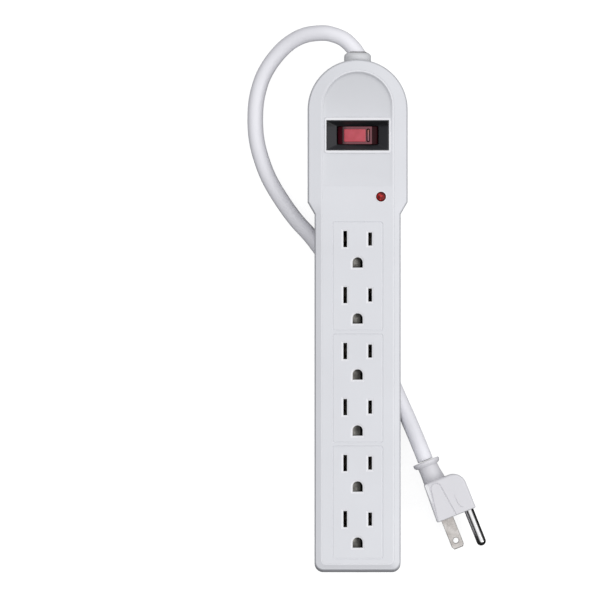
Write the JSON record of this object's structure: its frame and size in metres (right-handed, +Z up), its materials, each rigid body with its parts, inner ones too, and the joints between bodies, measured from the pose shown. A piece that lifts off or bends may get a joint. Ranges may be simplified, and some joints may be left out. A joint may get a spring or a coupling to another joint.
{
  "type": "power strip",
  "caption": "Straight power strip with a round head, grounded outlets in a row, a lighted rocker switch, an indicator lamp, and a mains cord with a grounded plug, lying on its own cord",
  "frame": {"origin": "On the surface that the strip and its cord lie on, under the middle of the housing.", "axes": "+Y along the strip towards the end that the cord leaves, +Z up out of the outlet face, +X to the right seen from above with the cord end away."},
  "size_m": [0.1219, 0.2793, 0.037],
  "materials": {
    "housing_plastic": "off-white satin moulded ABS",
    "cord_jacket": "off-white soft PVC",
    "bushing_plastic": "pale grey moulded nylon",
    "black_plastic": "black moulded plastic",
    "red_lens": "clear red lens plastic",
    "rocker_red": "translucent red plastic",
    "brass": "stamped brass strip",
    "nickel": "nickel-plated brass",
    "steel": "zinc-plated steel",
    "board": "green circuit board",
    "varistor_blue": "blue epoxy coating",
    "lamp_glass": "small neon lamp",
    "wire_black": "black wire insulation",
    "wire_white": "white wire insulation",
    "wire_green": "green wire insulation",
    "label_foil": "blank self-adhesive foil"
  },
  "bodies": {
    "strip": {"top_cover": "housing_plastic", "bottom_cover": "housing_plastic", "switch_housing": "black_plastic", "switch_terminal_line": "brass", "switch_terminal_load": "brass", "switch_terminal_neutral": "brass", "indicator_lens": "red_lens", "indicator_lamp": "lamp_glass", "hot_bus": "brass", "neutral_bus": "brass", "ground_bus": "brass", "surge_board": "board", "varistor_1": "varistor_blue", "varistor_2": "varistor_blue", "varistor_3": "varistor_blue", "thermal_fuse": "steel", "neutral_lead": "wire_white", "ground_lead": "wire_green", "line_lead": "wire_black", "switched_lead": "wire_black", "hot_lead": "wire_black", "lamp_lead": "wire_white", "strain_relief": "bushing_plastic", "cord_clamp": "bushing_plastic", "clamp_screw_1": "steel", "clamp_screw_2": "steel", "rating_label": "label_foil", "cord": "cord_jacket", "plug_body": "cord_jacket", "plug_blade_neutral": "nickel", "plug_blade_hot": "nickel", "plug_ground_pin": "nickel", "cover_screw_1": "steel", "cover_screw_2": "steel", "cover_screw_3": "steel", "cover_screw_4": "steel", "cover_screw_5": "steel", "cover_screw_6": "steel"},
    "rocker": {"switch_rocker": "rocker_red", "switch_plunger": "brass", "switch_spring": "steel", "switch_lamp": "lamp_glass"},
    "contact": {"switch_contact": "brass"}
  },
  "joints": [
    {"name": "rocker_tilt", "type": "hinge", "parent": "strip", "child": "rocker", "pos_m": [0, 0.0922, 0.0315], "axis": [0, 1, 0], "range_deg": [0, 14]},
    {"name": "contact_tilt", "type": "hinge", "parent": "strip", "child": "contact", "pos_m": [0, 0.0922, 0.0237], "axis": [0, 1, 0], "range_deg": [-8, 0]}
  ],
  "couplings": [
    {"joint": "contact_tilt", "follows": "rocker_tilt", "ratio": -0.57}
  ]
}
